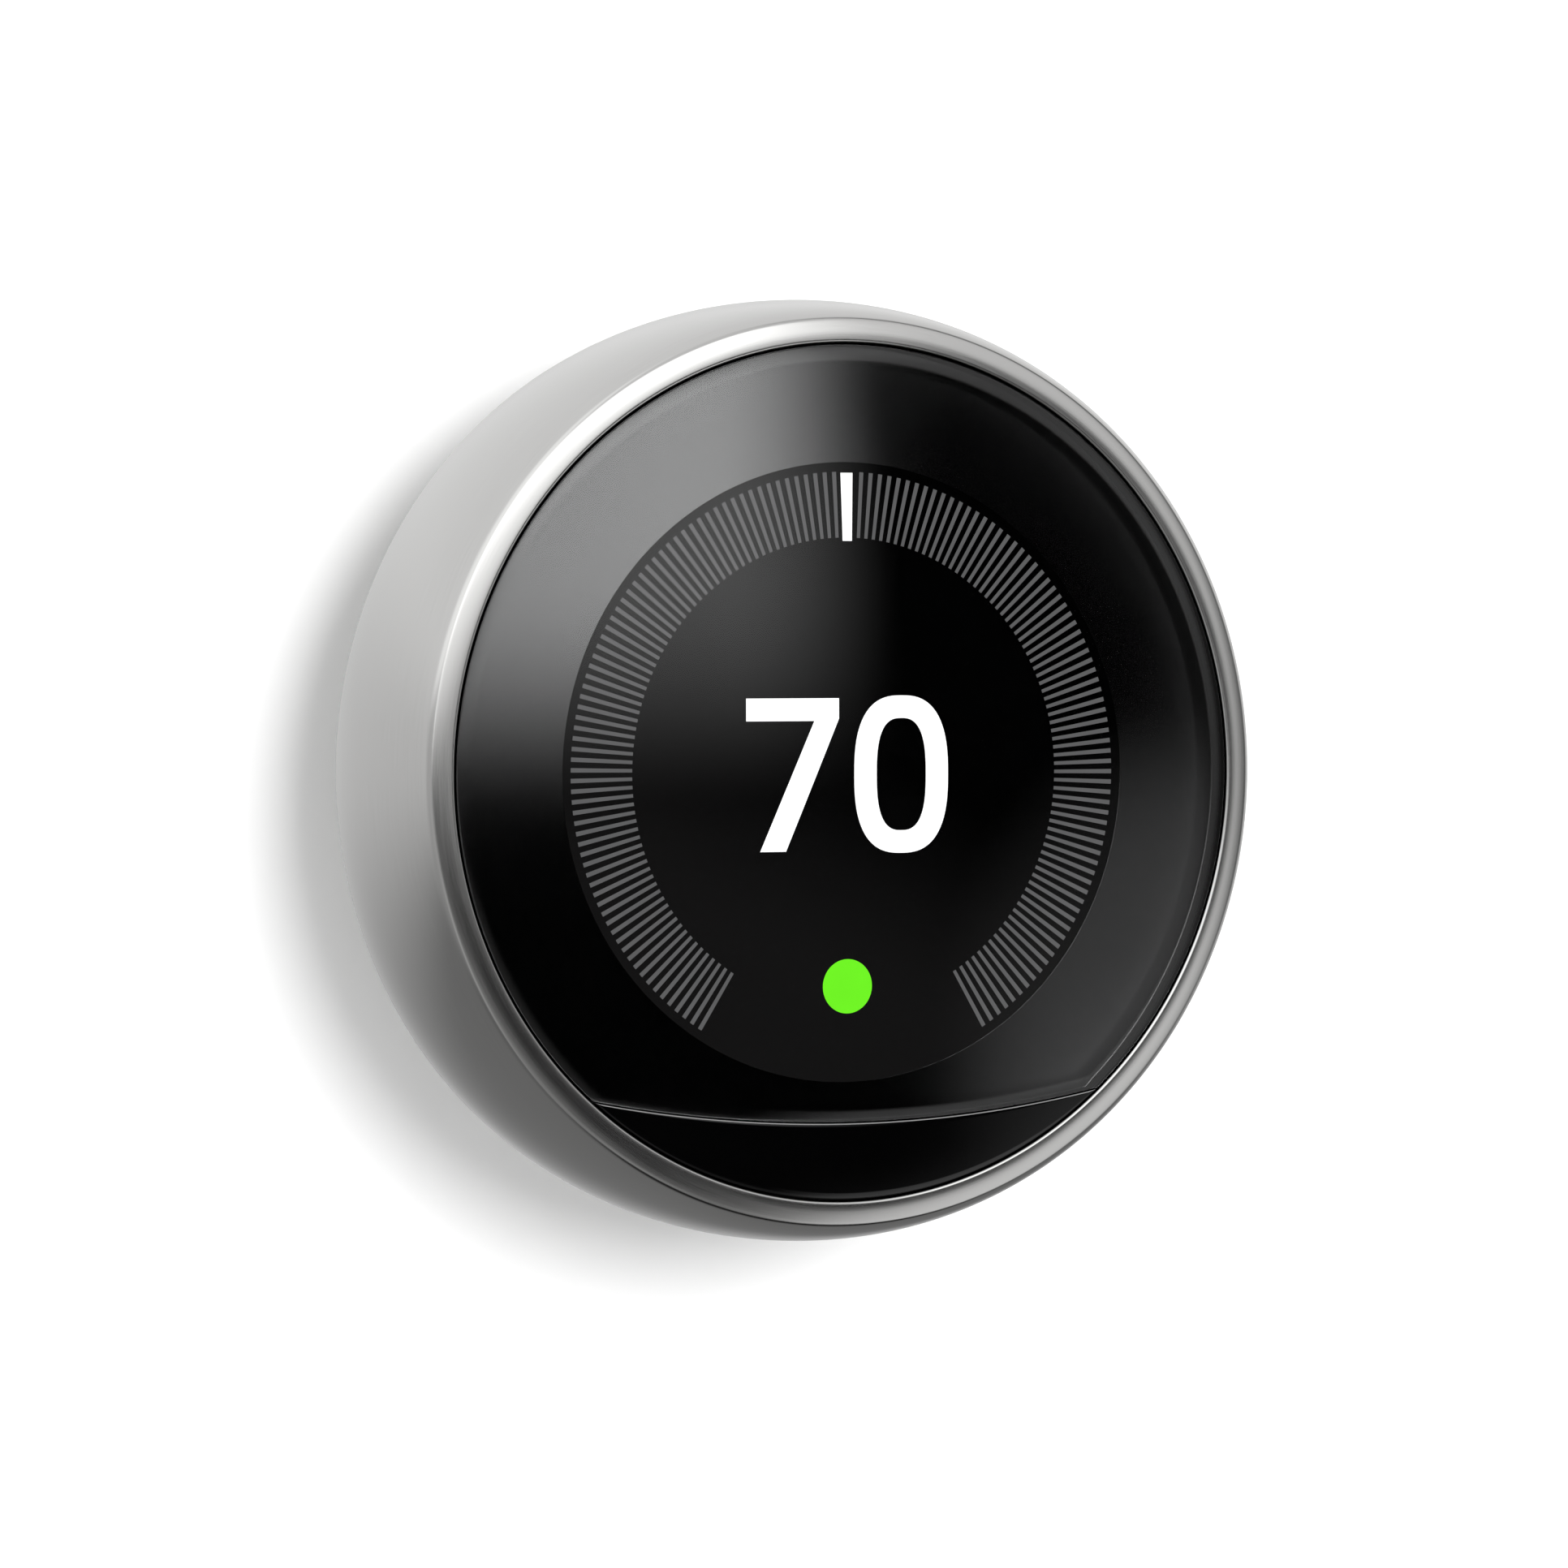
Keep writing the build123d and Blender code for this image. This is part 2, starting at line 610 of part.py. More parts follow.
dome_radius = (glass_radius**2 + (dome_rise + lens_lift) ** 2) / (2 * (dome_rise + lens_lift))
half_way = glass_radius / 2
half_height = total_depth - dome_radius + math.sqrt(dome_radius**2 - half_way**2)
window_arc_centre = (0, window_arc_radius - window_arc_low)


def domed_lens(back):
    """The whole domed front, from its flat back to the dome."""
    with BuildSketch(Plane.XY) as section:
        with BuildLine():
            Polyline([(0, -total_depth), (0, -back), (glass_radius, -back),
                      (glass_radius, -(lip_height - lens_lift))])
            ThreePointArc((glass_radius, -(lip_height - lens_lift)), (half_way, -half_height),
                          (0, -total_depth))
        make_face()
    revolve(section.sketch, axis=Axis.Y)


def window_cut(radius, low, high, mode):
    """Keeps or removes what lies inside the sensor window's long arc."""
    with BuildSketch(out(low)) as disc:
        with Locations(window_arc_centre):
            Circle(radius)
    extrude(disc.sketch, amount=high - low, mode=mode)


with BuildPart() as glass_lens:
    domed_lens(lens_back)
    fillet(glass_lens.faces().sort_by(Axis.Y)[0].edges(), 0.25)
    window_cut(window_arc_radius, lens_back - 1, total_depth + 1, Mode.INTERSECT)
save(glass_lens, "glass_lens")

with BuildPart() as sensor_window:
    domed_lens(mask_back + seat_gap)
    fillet(sensor_window.faces().sort_by(Axis.Y)[0].edges(), 0.25)
    window_cut(window_arc_radius + seam, mask_back - 1, total_depth + 1, Mode.SUBTRACT)
save(sensor_window, "sensor_window")

with BuildPart() as black_mask:
    rings(display_window_radius, glass_radius - 0.1, mask_back, lens_back)
    window_cut(window_arc_radius, mask_back - 1, lens_back + 1, Mode.INTERSECT)
save(black_mask, "black_mask")

wire_radius = 0.2
spring_radius = post_radius + 0.1 + wire_radius
spring_low = guide_top + wire_radius + 0.1
spring_high = frame_back - wire_radius - 0.1
spring_turns = 4
with BuildPart() as press_springs:
    for x, z in post_spots:
        with BuildLine() as coil:
            Helix(pitch=(spring_high - spring_low) / spring_turns, height=spring_high - spring_low,
                  radius=spring_radius, center=(x, -spring_low, z), direction=(0, -1, 0))
        with BuildSketch(Plane(origin=coil.line @ 0, z_dir=coil.line % 0)):
            Circle(wire_radius)
        sweep(path=coil.line)
save(press_springs, "press_springs")

# ================= Turning ring =================
edge_start = ring_radius - edge_width
belly_y = -(lip_height - belly_depth)
tail_turn = math.degrees(math.asin((ring_depth - belly_depth) / tail_reach))
tail_radius = ring_radius - tail_width * (1 - math.cos(math.radians(tail_turn)))
front_y = -(lip_height - front_reach)

with BuildPart() as control_ring:
    with BuildSketch(Plane.XY):
        with BuildLine():
            Line((lip_radius, -lip_height), (edge_start, front_y))
            EllipticalCenterArc((edge_start, belly_y), edge_width, belly_depth - front_reach,
                                start_angle=-90, arc_size=90)
            EllipticalCenterArc((ring_radius - tail_width, belly_y), tail_width, tail_reach,
                                start_angle=0, arc_size=tail_turn)
            Polyline([(tail_radius, -ring_back), (ring_bore, -ring_back),
                      (ring_bore, -(lip_height - lip_thickness)),
                      (lip_radius, -(lip_height - lip_thickness)), (lip_radius, -lip_height)])
        make_face()
    revolve(axis=Axis.Y)
    fillet(control_ring.edges().filter_by(GeomType.CIRCLE).group_by(Axis.Y)[0], 0.2)
    fillet(control_ring.edges().filter_by(GeomType.CIRCLE).group_by(Axis.Y)[-1], 0.3)
save(control_ring, "control_ring")

with BuildPart() as ring_liner:
    liner_front = lip_height - lip_thickness - 1.0
    turned([(liner_bore, liner_back), (liner_radius, liner_back), (liner_radius, liner_front),
            (liner_bore, liner_front), (liner_bore, flange_front),
            (bearing_radius + 0.2, flange_front), (bearing_radius + 0.2, flange_back),
            (liner_bore, flange_back)])
save(ring_liner, "ring_liner")

with BuildPart() as encoder_ring:
    rings(encoder_bore, liner_bore - seat_gap, encoder_back, encoder_front)
    with BuildSketch(out(encoder_back + 0.8)):
        with PolarLocations(encoder_bore, encoder_slots):
            Rectangle(0.7, 1.8)
    extrude(amount=encoder_front - encoder_back, mode=Mode.SUBTRACT)
save(encoder_ring, "encoder_ring")
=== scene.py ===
"""Looks of the round wall thermostat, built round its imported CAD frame.

Metres, the same frame as the CAD: the wall is Y = 0, the front faces -Y, +Z is up.
"""

import math

import bmesh
import bpy
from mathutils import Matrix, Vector


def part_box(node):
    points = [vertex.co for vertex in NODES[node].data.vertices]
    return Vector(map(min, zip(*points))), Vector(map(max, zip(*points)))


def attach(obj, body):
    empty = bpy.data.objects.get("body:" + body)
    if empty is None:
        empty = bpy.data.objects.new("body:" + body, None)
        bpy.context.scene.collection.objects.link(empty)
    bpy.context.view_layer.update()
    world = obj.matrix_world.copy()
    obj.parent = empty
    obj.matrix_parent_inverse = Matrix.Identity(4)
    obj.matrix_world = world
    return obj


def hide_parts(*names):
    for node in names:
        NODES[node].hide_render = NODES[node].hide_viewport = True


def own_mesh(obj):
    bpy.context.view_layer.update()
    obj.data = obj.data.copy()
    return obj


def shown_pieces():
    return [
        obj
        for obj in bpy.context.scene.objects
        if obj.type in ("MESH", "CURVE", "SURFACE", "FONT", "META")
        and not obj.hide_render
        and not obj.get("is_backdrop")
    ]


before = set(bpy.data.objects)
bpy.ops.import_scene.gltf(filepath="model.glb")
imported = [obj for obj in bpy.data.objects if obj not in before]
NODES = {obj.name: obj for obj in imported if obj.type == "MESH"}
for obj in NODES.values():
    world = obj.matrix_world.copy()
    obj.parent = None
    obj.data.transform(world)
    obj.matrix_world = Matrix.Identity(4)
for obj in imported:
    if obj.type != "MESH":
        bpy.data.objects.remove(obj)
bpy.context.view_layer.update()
MM = 0.001

# ---- Sizes read from the frame
ring_low, ring_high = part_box("control_ring")
lens_low, lens_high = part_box("glass_lens")
window_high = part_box("sensor_window")[1]
cell_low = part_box("display_cell")[0]
liner_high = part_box("ring_liner")[1]

RING_RADIUS = ring_high.z
RING_FRONT = ring_low.y
RING_BACK = ring_high.y
LENS_RADIUS = lens_high.z
DOME_FRONT = lens_low.y
LENS_BACK = lens_high.y
WINDOW_BACK = window_high.y
DISPLAY_FRONT = cell_low.y

# ---- Finish sizes of the visible shells
LIP_GAP = 0.2 * MM
LIP_ROUND = 0.22 * MM
LIP_THICKNESS = 1.4 * MM
EDGE_WIDTH = 2.27 * MM
EDGE_DROP = 0.24 * MM
BELLY_DEPTH = 11.45 * MM
TAIL_WIDTH = 2.9 * MM
TAIL_REACH = 11.15 * MM
BACK_ROUND = 0.3 * MM
RING_BORE = liner_high.x + 0.05 * MM
LENS_LIFT = 0.05 * MM
LENS_ROUND = 0.12 * MM
SEAM_ROUND = 0.05 * MM
WINDOW_EDGE = 0.1 * MM
WINDOW_SEAM = 0.15 * MM
WINDOW_ARC_RADIUS = 129.7 * MM
WINDOW_ARC_LOW = 30.8 * MM
VIEW_HOLE_RADIUS = 27.3 * MM
FILM_CLEARANCE = 0.01 * MM
COIL_RADIUS, COIL_WIRE, COIL_TURNS = 1.6 * MM, 0.2 * MM, 4
TURN_STEPS, RIM_STEPS, ARC_STEPS = 512, 420, 120


def dome_ball_radius():
    """Radius of the ball that the dome is cut from."""
    rise = RING_FRONT + LENS_LIFT - DOME_FRONT
    return (LENS_RADIUS**2 + rise**2) / (2 * rise)


def dome_y(radius):
    """The y of the dome's surface at a distance from the middle axis."""
    ball = dome_ball_radius()
    return DOME_FRONT + ball - math.sqrt(ball**2 - radius**2)


# ================= Node writing =================
class Wire:
    """A node socket that can be used in sums; each sum adds a Math node."""

    def __init__(self, tree, socket):
        self.tree = tree
        self.socket = socket

    def sum_with(self, operation, *values):
        step = self.tree.nodes.new("ShaderNodeMath")
        step.operation = operation
        for slot, value in zip(step.inputs, values):
            plug(self.tree, slot, value)
        return Wire(self.tree, step.outputs[0])

    def __add__(self, other):
        return self.sum_with("ADD", self, other)

    def __sub__(self, other):
        return self.sum_with("SUBTRACT", self, other)

    def __mul__(self, other):
        return self.sum_with("MULTIPLY", self, other)

    def __truediv__(self, other):
        return self.sum_with("DIVIDE", self, other)

    def __rsub__(self, other):
        return self.sum_with("SUBTRACT", other, self)

    def __rtruediv__(self, other):
        return self.sum_with("DIVIDE", other, self)

    __radd__ = __add__
    __rmul__ = __mul__

    def root(self):
        return self.sum_with("SQRT", self)


def plug(tree, slot, value):
    """Links a wire to a node's socket, or sets the socket's own value."""
    if isinstance(value, Wire):
        tree.links.new(value.socket, slot)
    else:
        slot.default_value = value


class Sheet:
    """A node tree that nodes are added to by one call each."""

    def __init__(self, tree):
        self.tree = tree

    def node(self, kind, settings=None, inputs=None, output=0):
        made = self.tree.nodes.new(kind)
        for name, value in (settings or {}).items():
            if name == "stops":
                ramp = made.color_ramp.elements
                while len(ramp) < len(value):
                    ramp.new(1.0)
                for stop, (place, colour) in zip(ramp, value):
                    stop.position = place
                    stop.color = colour
            else:
                setattr(made, name, value)
        for name, value in (inputs or {}).items():
            plug(self.tree, made.inputs[name], value)
        return Wire(self.tree, made.outputs[output])

    def vector(self, x, y, z):
        return self.node("ShaderNodeCombineXYZ", inputs={"X": x, "Y": y, "Z": z})

    def split(self, vector):
        node = self.tree.nodes.new("ShaderNodeSeparateXYZ")
        plug(self.tree, node.inputs[0], vector)
        return [Wire(self.tree, out) for out in node.outputs]

    def mix(self, factor, first, second):
        return self.node("ShaderNodeMix", {"data_type": "RGBA"},
                         {0: factor, 6: first, 7: second}, output=2)

    def step(self, value, start, end, low=0.0, high=1.0):
        return self.node("ShaderNodeMapRange", {"interpolation_type": "SMOOTHSTEP"},
                         {0: value, 1: start, 2: end, 3: low, 4: high})


class Finish(Sheet):
    """A material with one Principled surface."""

    def __init__(self, name, **fixed):
        self.material = bpy.data.materials.new(name)
        self.material.use_nodes = True
        super().__init__(self.material.node_tree)
        self.tree.nodes.clear()
        self.surface = self.tree.nodes.new("ShaderNodeBsdfPrincipled")
        self.out = self.tree.nodes.new("ShaderNodeOutputMaterial")
        self.tree.links.new(self.surface.outputs[0], self.out.inputs["Surface"])
        for name, value in fixed.items():
            self.surface.inputs[name.replace("_", " ")].default_value = value
        self.place = self.node("ShaderNodeTexCoord", output=3)

    def feed(self, **wires):
        for name, value in wires.items():
            plug(self.tree, self.surface.inputs[name.replace("_", " ")], value)

    def noise(self, scale, detail=3.0, roughness=0.55, place=None):
        return self.node("ShaderNodeTexNoise", None, {
            "Vector": place or self.place, "Scale": scale, "Detail": detail,
            "Roughness": roughness})

    def bump(self, height, distance, strength=1.0, facing=None):
        sizes = {"Height": height, "Distance": distance, "Strength": strength}
        if facing:
            sizes["Normal"] = facing
        self.feed(Normal=self.node("ShaderNodeBump", None, sizes))

    def round_places(self):
        """Distance from the middle axis, height out from the wall and turn about the axis."""
        x, y, z = self.split(self.place)
        radius = (x * x + z * z).root()
        turn = self.node("ShaderNodeMath", {"operation": "ARCTAN2"}, {0: z, 1: x})
        return radius, y, turn


def grey(value, alpha=1.0):
    return (value, value, value, alpha)


def shade(colour, factor):
    return (*[channel * factor for channel in colour[:3]], 1.0)


# ================= Finishes =================
def turned_steel():
    """Satin stainless steel with a fine grain that runs round the ring."""
    f = Finish("satin_turned_steel", Metallic=1.0)
    radius, depth, turn = f.round_places()
    lay = f.vector(radius * 9000.0, depth * 9000.0, turn * 7.0)
    grain = f.noise(1.0, detail=4.0, roughness=0.65, place=lay)
    scuff = f.noise(55.0, detail=5.0)
    tone = grain * 0.5 + scuff * 0.3
    f.feed(Base_Color=f.mix(tone, (0.50, 0.497, 0.49, 1), (0.62, 0.618, 0.61, 1)),
           Roughness=grain * 0.08 + scuff * 0.06 + 0.13)
    f.bump(grain, 0.004 * MM, 0.35)
    return f.material


def brushed(name, light, dark, roughness, scale=900.0):
    """Plated or drawn metal with a straight fine grain and handling marks."""
    f = Finish(name, Metallic=1.0)
    x, y, z = f.split(f.place)
    lay = f.vector(x * scale * 8, y * scale, z * scale * 0.6)
    grain = f.noise(1.0, detail=4.0, roughness=0.7, place=lay)
    marks = f.noise(260.0, detail=6.0, roughness=0.7)
    f.feed(Base_Color=f.mix(grain * 0.5 + marks * 0.5, dark, light),
           Roughness=grain * 0.16 + marks * 0.12 + (roughness - 0.14))
    f.bump(grain, 0.006 * MM, 0.4)
    return f.material


def moulded(name, colour, roughness=0.5, grain=0.012, coat=0.0):
    """Moulded plastic: spark-eroded grain and slow tone drift."""
    f = Finish(name, Coat_Weight=coat, Coat_Roughness=0.12)
    fine = f.noise(5200.0, detail=2.0, roughness=0.6)
    pores = f.node("ShaderNodeTexVoronoi", {"feature": "F1"}, {"Vector": f.place, "Scale": 3400.0})
    drift = f.noise(38.0, detail=4.0)
    f.feed(Base_Color=f.mix(drift * 0.7 + fine * 0.3, shade(colour, 0.86), shade(colour, 1.12)),
           Roughness=fine * 0.14 + drift * 0.12 + (roughness - 0.13))
    f.bump(fine * 0.6 + pores * 0.4, grain * MM, 0.6)
    return f.material


def lens_glass():
    """Clear, faintly smoked glass with a hardly visible hand-wiped haze."""
    f = Finish("front_lens_glass", Base_Color=(0.9, 0.905, 0.91, 1), IOR=1.5, Transmission_Weight=1.0)
    wipe = f.noise(45.0, detail=5.0, roughness=0.6)
    f.feed(Roughness=f.step(wipe, 0.45, 0.8, 0.0, 0.02))
    return f.material


def window_plastic():
    """Glossy infrared-clear plastic, a shade warmer and softer than the glass."""
    f = Finish("sensor_window_plastic", IOR=1.5)
    drift = f.noise(60.0, detail=4.0)
    x, y, z = f.split(f.place)
    ripple = f.noise(1.0, detail=2.0, place=f.vector(x * 180, y * 180, z * 180))
    f.feed(Base_Color=f.mix(drift, (0.0003, 0.0003, 0.0003, 1), (0.0008, 0.0008, 0.0009, 1)),
           Roughness=drift * 0.03 + 0.03)
    f.bump(ripple, 0.001 * MM, 0.2)
    return f.material


def printed_black():
    """Black ink printed behind the lens, slightly open in texture, that follows the dome's curve."""
    f = Finish("printed_black_rim", IOR=2.3)
    speck = f.noise(7000.0, detail=2.0)
    drift = f.noise(70.0, detail=3.0)
    tone = speck * 0.6 + drift * 0.4
    f.feed(Base_Color=f.mix(tone, (0.0005, 0.0005, 0.0005, 1), (0.0018, 0.0018, 0.0019, 1)),
           Roughness=speck * 0.012 + drift * 0.03 + 0.045)
    x, y, z = f.split(f.place)
    f.bump(speck, 0.0004 * MM, 0.1, f.node("ShaderNodeVectorMath", {"operation": "NORMALIZE"}, {
        0: f.vector(x, -dome_ball_radius(), z)}))
    return f.material


def edge_black():
    """Matt black paint on the ground edge of the glass."""
    f = Finish("lens_edge_black", Specular_IOR_Level=0.0)
    grit = f.noise(2600.0)
    f.feed(Base_Color=f.mix(grit, grey(0.0005), grey(0.002)), Roughness=grit * 0.1 + 0.6)
    return f.material


def display_face():
    """Display glass, lit from behind so faintly that black is just off black."""
    f = Finish("display_face_glass", Roughness=0.3, Specular_IOR_Level=0.0)
    radius, depth, turn = f.round_places()
    rows = f.noise(1.0, detail=1.0, place=f.vector(radius * 40, depth * 40, turn * 2))
    x, y, z = f.split(f.place)
    leak = f.step(x * 0.45 + z, 0.004, -0.020)
    f.feed(Base_Color=f.mix(rows, (0.001, 0.001, 0.001, 1), (0.002, 0.002, 0.0022, 1)),
           Emission_Color=f.mix(leak, (0.0002, 0.0002, 0.0002, 1), (0.0072, 0.0070, 0.0070, 1)))
    f.surface.inputs["Emission Strength"].default_value = 1.0
    return f.material


def lit(name, colour, strength, grain=0.04):
    """A lit part of the display picture, with the slight unevenness of a backlight."""
    f = Finish(name, Roughness=0.6, Specular_IOR_Level=0.0)
    f.surface.inputs["Emission Strength"].default_value = strength
    uneven = f.noise(220.0, detail=2.0)
    f.feed(Base_Color=f.mix(uneven, shade(colour, 0.02), shade(colour, 0.03)),
           Emission_Color=f.mix(uneven, shade(colour, 1 - grain), shade(colour, 1 + grain)))
    return f.material


def circuit_board(name, mask):
    """Solder-masked board with tracks, filled planes and tinned vias."""
    f = Finish(name, Coat_Weight=0.5, Coat_Roughness=0.18)
    tracks = f.node("ShaderNodeTexVoronoi", {"feature": "DISTANCE_TO_EDGE", "distance": "CHEBYCHEV"},
                    {"Vector": f.place, "Scale": 420.0, "Randomness": 0.75})
    line = f.step(tracks, 0.03, 0.06, 1.0, 0.0)
    via = f.step(f.node("ShaderNodeTexVoronoi", {"feature": "F1"}, {"Vector": f.place, "Scale": 330.0}),
                 0.10, 0.13, 1.0, 0.0)
    weave = f.noise(1500.0, detail=2.0)
    base = f.mix(line, shade(mask, 0.8), shade(mask, 1.7))
    f.feed(Base_Color=f.mix(via, base, (0.62, 0.60, 0.55, 1)),
           Metallic=via * 0.9, Roughness=weave * 0.12 + line * 0.06 + 0.33)
    f.bump(line * 0.6 + weave * 0.2 + via * 0.4, 0.03 * MM, 0.6)
    return f.material


def tinted_clear(name, colour, roughness, ior=1.49):
    """Clear plastic or liquid with faint streaks."""
    f = Finish(name, Base_Color=colour, IOR=ior, Transmission_Weight=1.0)
    streak = f.noise(300.0, detail=3.0)
    f.feed(Roughness=streak * 0.04 + roughness)
    return f.material


def foil_pouch():
    """Crinkled silver foil of the cell."""
    f = Finish("cell_foil", Metallic=0.8)
    fold = f.noise(420.0, detail=6.0, roughness=0.6)
    f.feed(Base_Color=f.mix(fold, (0.55, 0.56, 0.58, 1), (0.78, 0.79, 0.81, 1)),
           Roughness=fold * 0.2 + 0.22)
    f.bump(fold, 0.12 * MM, 0.5)
    return f.material


FINISHES = {
    "chassis": moulded("chassis_black_plastic", (0.028, 0.028, 0.030), 0.52),
    "base_white": moulded("base_warm_white_plastic", (0.74, 0.74, 0.72), 0.50, 0.010),
    "cover_white": moulded("cover_white_plastic", (0.80, 0.80, 0.79), 0.42, 0.008),
    "block": moulded("terminal_block_grey_plastic", (0.30, 0.31, 0.32), 0.48),
    "tab": moulded("wire_tab_light_plastic", (0.56, 0.57, 0.58), 0.40, 0.008),
    "connector": moulded("connector_black_plastic", (0.018, 0.018, 0.018), 0.42, 0.008),
    "glide": moulded("glide_polymer", (0.80, 0.79, 0.74), 0.36),
    "encoder": moulded("encoder_grey_plastic", (0.55, 0.55, 0.54), 0.38),
    "film": moulded("backlight_film", (0.78, 0.80, 0.83), 0.30, 0.004),
    "chip": moulded("chip_epoxy", (0.022, 0.022, 0.024), 0.55, 0.016),
    "sleeve": moulded("lead_sleeve_rubber", (0.03, 0.03, 0.03), 0.7, 0.02),
    "flex": moulded("amber_flex_film", (0.50, 0.23, 0.04), 0.3, 0.006, coat=0.5),
    "screw": brushed("zinc_screw_metal", (0.70, 0.70, 0.69, 1), (0.48, 0.48, 0.47, 1), 0.33),
    "spring": brushed("drawn_spring_steel", (0.58, 0.58, 0.57, 1), (0.36, 0.36, 0.36, 1), 0.30, 500.0),
    "tin": brushed("tinned_shield_sheet", (0.76, 0.76, 0.74, 1), (0.55, 0.55, 0.54, 1), 0.34),
    "gold": brushed("gold_plated_contact", (0.86, 0.66, 0.30, 1), (0.66, 0.46, 0.17, 1), 0.26, 600.0),
    "brass": brushed("sounder_brass", (0.75, 0.62, 0.34, 1), (0.52, 0.41, 0.20, 1), 0.34),
    "green_board": circuit_board("main_board_laminate", (0.010, 0.090, 0.040)),
    "base_board": circuit_board("base_board_laminate", (0.008, 0.060, 0.075)),
    "foil": foil_pouch(),
    "vial": tinted_clear("vial_clear_acrylic", (0.97, 1.0, 0.99, 1), 0.02),
    "fluid": tinted_clear("vial_green_spirit", (0.72, 0.95, 0.12, 1), 0.0, 1.36),
}

CAD_FINISH = {
    "chassis": ["support_frame", "retaining_ring", "display_tray", "ring_liner", "rear_housing"],
    "base_white": ["base_plate"],
    "cover_white": ["base_cover"],
    "block": ["terminal_block_left", "terminal_block_right", "level_cradle"],
    "tab": [f"wire_tab_{number}" for number in range(1, 11)],
    "connector": ["head_connector", "base_connector", "display_socket"],
    "glide": ["ring_glides"],
    "encoder": ["encoder_ring"],
    "film": ["display_backlight"],
    "chip": ["processor", "ring_sensor", "temperature_sensor", "press_switch"],
    "sleeve": ["battery_lead"],
    "flex": ["display_flex"],
    "screw": ["front_screws", "board_screws", "base_screws"],
    "spring": ["press_springs", "catch_clips"],
    "tin": ["rf_shield", "usb_socket", "motion_sensor"],
    "gold": ["head_connector_pins", "base_connector_contacts", "terminal_contacts"],
    "brass": ["click_speaker"],
    "green_board": ["main_circuit_board"],
    "base_board": ["base_circuit_board"],
    "foil": ["battery"],
    "vial": ["level_vial"],
    "fluid": ["level_fluid"],
}


def finish_cad_node(name, material):
    """Gives a CAD node its finish, and shades its curves smooth and its edges sharp."""
    node = NODES[name]
    node.data.materials.clear()
    node.data.materials.append(material)
    node.data.polygons.foreach_set("use_smooth", [True] * len(node.data.polygons))
    weld = node.modifiers.new("weld", "WELD")
    weld.merge_threshold = 0.001 * MM
    split = node.modifiers.new("edges", "EDGE_SPLIT")
    split.split_angle = math.radians(28)


for finish, names in CAD_FINISH.items():
    for name in names:
        finish_cad_node(name, FINISHES[finish])
finish_cad_node("display_cell", display_face())


# ================= Mesh making =================
CLEAR_GLASS, EDGE_PAINT, BONDED_BACK = 0, 1, 2
# The window's seam faces carry a painted highlight in a lighter grey.
SHELL, SEAM_PAINTED_HIGHLIGHT = 0, 1


def new_piece(name, mesh, material, body, replaced=()):
    """Puts a finished mesh into the scene as a piece on a body."""
    mesh.materials.append(material)
    piece = bpy.data.objects.new(name, mesh)
    bpy.context.scene.collection.objects.link(piece)
    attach(piece, body)
    if replaced:
        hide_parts(*replaced)
    return piece


def tidy_mesh(bm, name, sharp_angle=30.0):
    """Closes, faces outwards and shades a bmesh, and gives it back as a mesh."""
    bmesh.ops.remove_doubles(bm, verts=bm.verts, dist=1e-8)
    bmesh.ops.recalc_face_normals(bm, faces=bm.faces)
    mesh = bpy.data.meshes.new(name)
    bm.to_mesh(mesh)
    bm.free()
    mesh.polygons.foreach_set("use_smooth", [True] * len(mesh.polygons))
    mesh.set_sharp_from_angle(angle=math.radians(sharp_angle))
    return mesh


def turned_mesh(name, outline):
    """Turns a closed outline of (radius, y) points about the middle axis."""
    bm = bmesh.new()
    rows = []
    for step in range(TURN_STEPS):
        turn = 2 * math.pi * step / TURN_STEPS
        rows.append([bm.verts.new((r * math.cos(turn), y, r * math.sin(turn))) for r, y in outline])
    for step, row in enumerate(rows):
        after = rows[(step + 1) % TURN_STEPS]
        for i in range(len(outline)):
            j = (i + 1) % len(outline)
            bm.faces.new((row[i], row[j], after[j], after[i]))
    return tidy_mesh(bm, name)


def rounded_corner(centre, radius, start, end, steps=5):
    """Points of a small round, from one angle to another in degrees."""
    angles = [math.radians(start + (end - start) * i / steps) for i in range(steps + 1)]
    return [(centre[0] + radius * math.cos(a), centre[1] + radius * math.sin(a)) for a in angles]


def ring_outline():
    """The ring's hooked section: rounded lip, flat face, swelling side and straight bore."""
    lip = LENS_RADIUS + LIP_GAP
    edge = RING_RADIUS - EDGE_WIDTH
    belly = RING_FRONT + BELLY_DEPTH
    tail_turn = math.asin((RING_BACK - BACK_ROUND - belly) / TAIL_REACH)
    points = rounded_corner((lip + LIP_ROUND, RING_FRONT + LIP_ROUND), LIP_ROUND, 180, 270)
    crease = []
    steps = 44
    for i in range(steps + 1):
        turn = math.radians(3 + 87 * i / steps)
        crease.append((edge + EDGE_WIDTH * math.sin(turn),
                       belly - (BELLY_DEPTH - EDGE_DROP) * math.cos(turn)))
    start, drop = points[-1][0], crease[0][1] - RING_FRONT
    for i in range(1, 12):
        share = i / 12
        points.append((start + (crease[0][0] - start) * share, RING_FRONT + drop * share**1.73))
    points += crease
    for i in range(1, 17):
        turn = tail_turn * i / 16
        points.append((RING_RADIUS - TAIL_WIDTH * (1 - math.cos(turn)),
                       belly + TAIL_REACH * math.sin(turn)))
    tail = points[-1][0]
    points += rounded_corner((tail - BACK_ROUND, RING_BACK - BACK_ROUND), BACK_ROUND, 10, 90)
    points += rounded_corner((RING_BORE + BACK_ROUND, RING_BACK - BACK_ROUND), BACK_ROUND, 90, 180)
    points += [(RING_BORE, RING_FRONT + LIP_THICKNESS), (lip, RING_FRONT + LIP_THICKNESS)]
    return points


